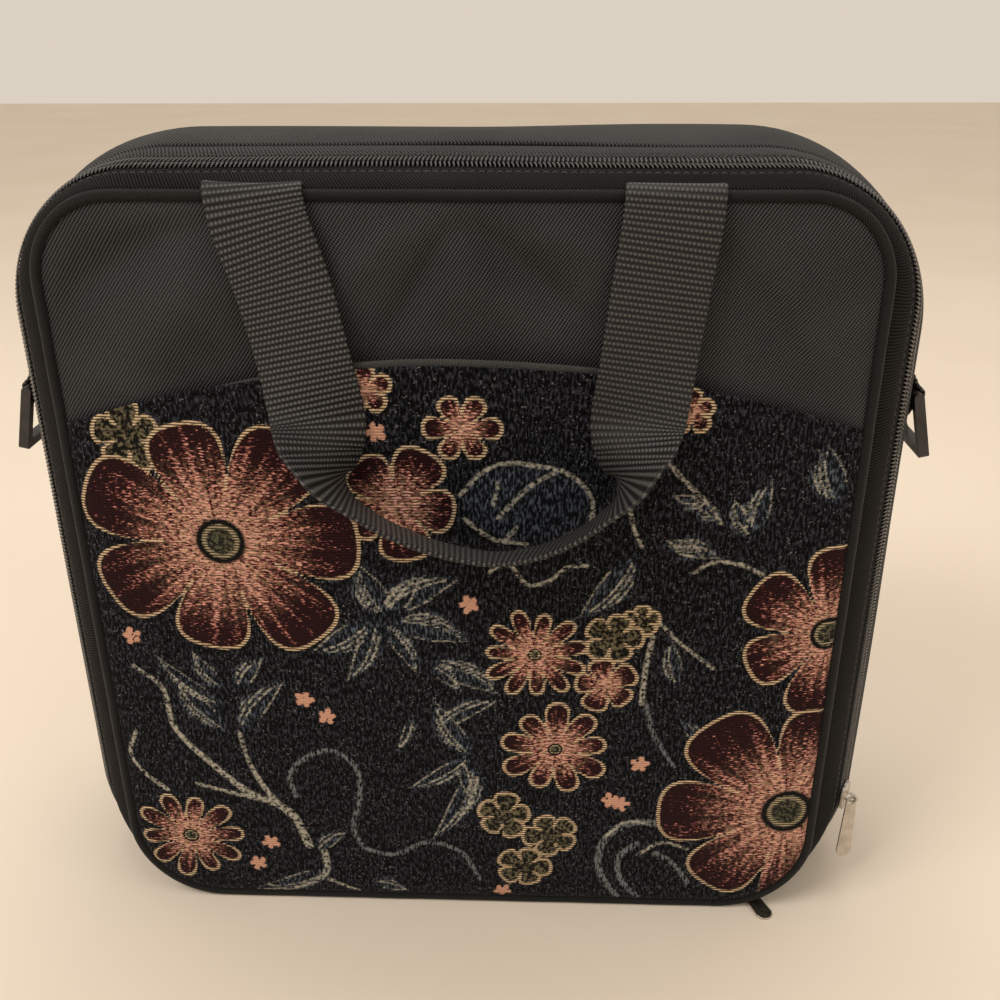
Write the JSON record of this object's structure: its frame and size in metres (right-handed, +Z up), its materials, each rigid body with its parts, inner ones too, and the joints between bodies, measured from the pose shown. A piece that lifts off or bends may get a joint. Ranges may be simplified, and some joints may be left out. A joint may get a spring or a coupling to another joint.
{
  "type": "travel bag",
  "caption": "Soft upright travel bag with a zipped front cover, arched tapestry slip pocket, webbing loop handles, piped edges and side rings for a shoulder strap.",
  "frame": {"origin": "on the table under the middle of the bag, half way between the front and the rear piping", "axes": "+Z up, the front with the pocket faces -Y, +X to the right seen from the front"},
  "size_m": [0.4198, 0.2392, 0.369],
  "materials": {
    "polyester": "woven black polyester, matt",
    "piping": "black woven piping, matt",
    "zip_tape": "black zip tape, matt",
    "zip_coil": "black nylon coil, satin",
    "tapestry": "woven flower tapestry on a dark ground",
    "pocket_lining": "grey lining, matt",
    "webbing": "black ribbed webbing, satin",
    "nickel": "nickel plated zinc, satin",
    "ring_plastic": "black moulded plastic, satin",
    "board": "black plastic sheet, matt"
  },
  "bodies": {
    "bag_body": {"rear_panel": "polyester", "rear_piping": "piping", "main_gusset": "polyester", "rear_zip_facing": "polyester", "rear_zip_tape": "zip_tape", "rear_zip_coil": "zip_coil", "bottom_panel": "polyester", "base_board": "board", "side_tab_left": "webbing", "side_tab_right": "webbing", "base_slider": "nickel"},
    "front_cover": {"front_panel": "polyester", "front_piping": "piping", "front_strip": "polyester", "front_zip_tape": "zip_tape", "front_zip_coil": "zip_coil", "pocket_panel": "tapestry", "pocket_facing": "pocket_lining"},
    "front_strap": {"front_handle": "webbing"},
    "rear_strap": {"rear_handle": "webbing"},
    "zip_slider": {"side_slider": "nickel"},
    "zip_pull": {"side_pull": "nickel"},
    "spare_pull": {"base_pull": "nickel"},
    "left_ring": {"ring_left": "ring_plastic"},
    "right_ring": {"ring_right": "ring_plastic"}
  },
  "joints": [
    {"name": "cover_hinge", "type": "hinge", "parent": "bag_body", "child": "front_cover", "pos_m": [0, -0.07, 0.0025], "axis": [1, 0, 0], "range_deg": [0, 60]},
    {"name": "front_handle_swing", "type": "hinge", "parent": "front_cover", "child": "front_strap", "pos_m": [0, -0.0739, 0.3535], "axis": [-1, 0, 0], "range_deg": [0, 175]},
    {"name": "rear_handle_swing", "type": "hinge", "parent": "bag_body", "child": "rear_strap", "pos_m": [0, 0.0739, 0.3535], "axis": [1, 0, 0], "range_deg": [0, 175]},
    {"name": "side_slider_run", "type": "slide", "parent": "front_cover", "child": "zip_slider", "axis": [0, 0, 1], "range_m": [0, 0.2]},
    {"name": "side_pull_swing", "type": "hinge", "parent": "zip_slider", "child": "zip_pull", "pos_m": [0.1927, -0.05048, 0.054], "axis": [-0.5322, -0.8466, 0], "range_deg": [0, 165]},
    {"name": "base_pull_swing", "type": "hinge", "parent": "bag_body", "child": "spare_pull", "pos_m": [0.13566, -0.0475, 0.0034], "axis": [0, 0, 1], "range_deg": [0, 60]},
    {"name": "left_ring_swing", "type": "hinge", "parent": "bag_body", "child": "left_ring", "pos_m": [-0.2013, -0.012, 0.258], "axis": [0, 1, 0], "range_deg": [0, 115]},
    {"name": "right_ring_swing", "type": "hinge", "parent": "bag_body", "child": "right_ring", "pos_m": [0.2013, -0.012, 0.258], "axis": [0, -1, 0], "range_deg": [0, 115]}
  ]
}
